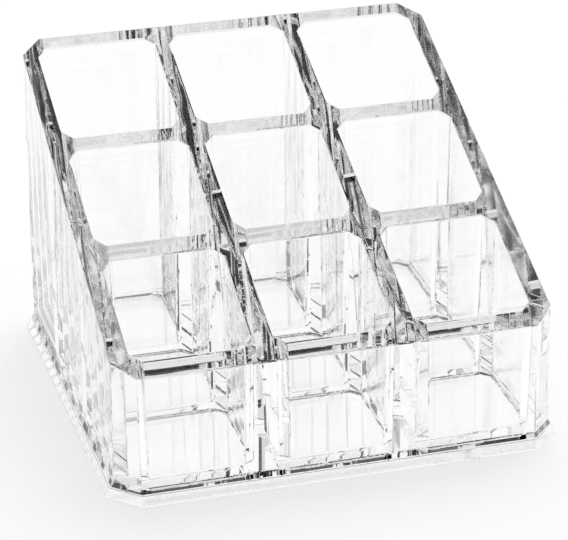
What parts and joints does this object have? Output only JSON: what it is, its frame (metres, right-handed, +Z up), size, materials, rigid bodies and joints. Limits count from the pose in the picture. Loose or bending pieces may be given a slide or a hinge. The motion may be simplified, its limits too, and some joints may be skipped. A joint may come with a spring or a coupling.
{
  "type": "vanity organizer",
  "caption": "Clear moulded vanity organizer with a grid of open upright cells under an inclined rim, bonded to a bevelled base plate; holds lipsticks and small cosmetics.",
  "frame": {"origin": "middle of the base plate's underside", "axes": "+Z up, the low front faces -Y, +X to the right as seen from the front"},
  "size_m": [0.0934, 0.0934, 0.0654],
  "materials": {
    "clear_body": "polished, water-clear",
    "clear_base": "polished, water-clear"
  },
  "bodies": {
    "root": {"compartment_body": "clear_body", "base_plate": "clear_base"}
  },
  "joints": []
}
